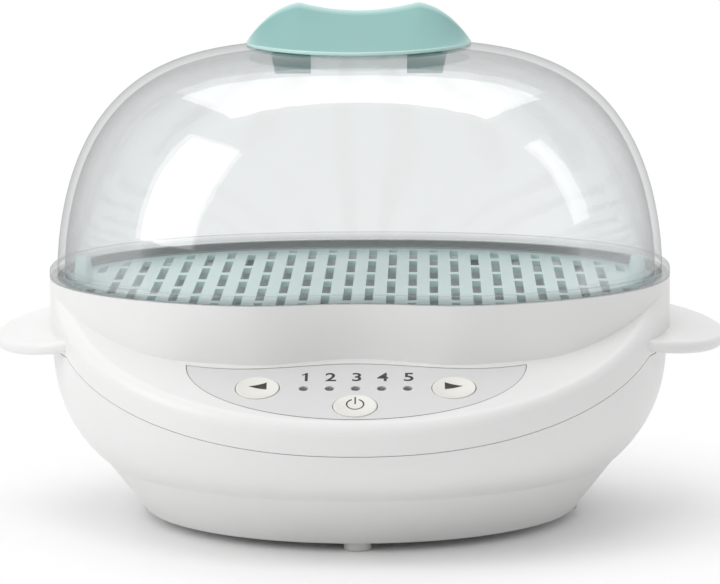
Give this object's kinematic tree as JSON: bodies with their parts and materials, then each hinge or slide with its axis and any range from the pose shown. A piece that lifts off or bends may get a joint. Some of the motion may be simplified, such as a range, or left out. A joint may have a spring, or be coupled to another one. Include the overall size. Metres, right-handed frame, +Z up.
{
  "type": "baby food maker",
  "caption": "Countertop steamer with a clear domed lid and pinch handle, a lift-out slotted tray over a heated water well, and a tapered base with a sloping button ledge and side ears.",
  "frame": {"origin": "on the counter under the middle of the whole object's box", "axes": "+Z up, -Y towards the user and the buttons, +X to the user's right along the ears"},
  "size_m": [0.2604, 0.21, 0.1825],
  "materials": {
    "white_plastic": "moulded, satin gloss",
    "clear_plastic": "clear, polished",
    "teal_plastic": "moulded, satin",
    "aqua_plastic": "moulded, satin",
    "grey_inlay": "fine satin",
    "pearl_plastic": "pearl gloss",
    "lamp_plastic": "clear tinted",
    "foot_rubber": "matt",
    "gland_plastic": "matt",
    "seal_rubber": "matt",
    "cast_aluminium": "turned face",
    "element_sheath": "dull",
    "plated_steel": "zinc plated",
    "thermostat_shell": "satin",
    "fuse_can": "bright",
    "board_laminate": "varnished",
    "black_plastic": "moulded",
    "capacitor_case": "moulded",
    "terminal_plastic": "moulded"
  },
  "bodies": {
    "base": {"upper_housing": "white_plastic", "lower_housing": "white_plastic", "bottom_cover": "white_plastic", "water_well": "white_plastic", "control_panel": "grey_inlay", "indicator_leds": "lamp_plastic", "foot_front": "foot_rubber", "foot_right": "foot_rubber", "foot_back": "foot_rubber", "foot_left": "foot_rubber", "cord_gland": "gland_plastic", "plate_gasket": "seal_rubber", "heating_plate": "cast_aluminium", "heating_element": "element_sheath", "cover_screws": "plated_steel", "housing_screws": "plated_steel", "plate_screws": "plated_steel", "thermostat_screws": "plated_steel", "board_screws": "plated_steel", "power_board_screws": "plated_steel", "fuse_clip": "plated_steel", "thermostat": "thermostat_shell", "thermal_fuse": "fuse_can", "control_board": "board_laminate", "power_board": "board_laminate", "tact_switches": "black_plastic", "relay": "black_plastic", "capacitor": "capacitor_case", "terminal_block": "terminal_plastic"},
    "tray": {"steam_tray": "aqua_plastic", "tray_tab_left": "aqua_plastic", "tray_tab_right": "aqua_plastic"},
    "lid": {"dome_lid": "clear_plastic", "lid_handle": "teal_plastic"},
    "button_left": {"button_left": "pearl_plastic", "plunger_left": "black_plastic"},
    "button_right": {"button_right": "pearl_plastic", "plunger_right": "black_plastic"},
    "button_power": {"button_power": "pearl_plastic", "plunger_power": "black_plastic"}
  },
  "joints": [
    {"name": "tray_lift", "type": "slide", "parent": "base", "child": "tray", "axis": [0, 0, 1], "range_m": [0, 0.12]},
    {"name": "lid_lift", "type": "slide", "parent": "tray", "child": "lid", "axis": [0, 0, 1], "range_m": [0, 0.16]},
    {"name": "press_left", "type": "slide", "parent": "base", "child": "button_left", "axis": [0, 0.342, -0.9397], "range_m": [0, 0.0008], "stiffness_N_per_m": 2000, "springref_m": -0.0001},
    {"name": "press_right", "type": "slide", "parent": "base", "child": "button_right", "axis": [0, 0.342, -0.9397], "range_m": [0, 0.0008], "stiffness_N_per_m": 2000, "springref_m": -0.0001},
    {"name": "press_power", "type": "slide", "parent": "base", "child": "button_power", "axis": [0, 0.342, -0.9397], "range_m": [0, 0.0008], "stiffness_N_per_m": 2000, "springref_m": -0.0001}
  ]
}
